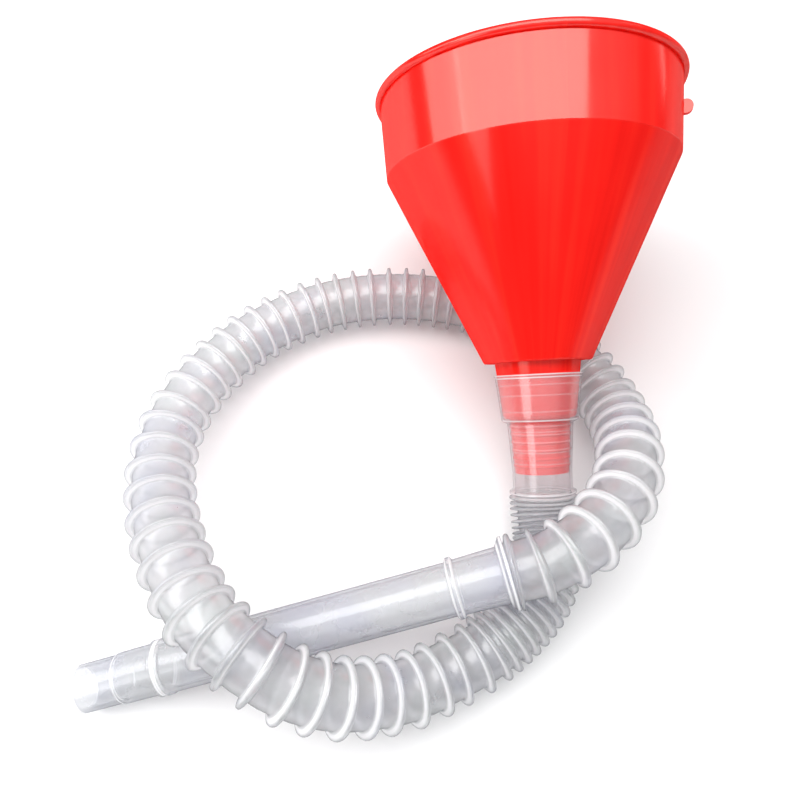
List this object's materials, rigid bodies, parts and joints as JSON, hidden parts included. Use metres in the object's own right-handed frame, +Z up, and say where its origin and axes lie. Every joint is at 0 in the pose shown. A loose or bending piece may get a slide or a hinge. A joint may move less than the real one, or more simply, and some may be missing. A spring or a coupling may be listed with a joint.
{
  "type": "funnel with flexible hose",
  "caption": "Wide-mouth fuel funnel with a lift-out strainer, pushed into the cuff of a pull-out corrugated hose that ends in a smooth straight tube with a plain tip.",
  "frame": {"origin": "on the ground under the middle of the whole object's box, as it lies with its hose in one loop", "axes": "+Z up, +Y towards the funnel's mouth seen from above, +X to the right of the funnel's axis"},
  "size_m": [0.3198, 0.3374, 0.1966],
  "materials": {
    "red_plastic": "glossy saturated red moulding",
    "clear_plastic": "clear, slightly frosted, thin and glossy",
    "strainer_metal": "plain pressed metal and woven wire"
  },
  "bodies": {
    "hose": {"hose_cuff": "clear_plastic", "hose_flex": "clear_plastic", "hose_end_tube": "clear_plastic"},
    "funnel": {"funnel_body": "red_plastic"},
    "strainer": {"strainer_frame": "strainer_metal", "strainer_mesh": "strainer_metal"}
  },
  "joints": [
    {"name": "funnel_pull_off", "type": "slide", "parent": "hose", "child": "funnel", "axis": [0, 0.8798, 0.4753], "range_m": [0, 0.06]},
    {"name": "strainer_lift_out", "type": "slide", "parent": "funnel", "child": "strainer", "axis": [0, 0.8798, 0.4753], "range_m": [0, 0.14]}
  ]
}
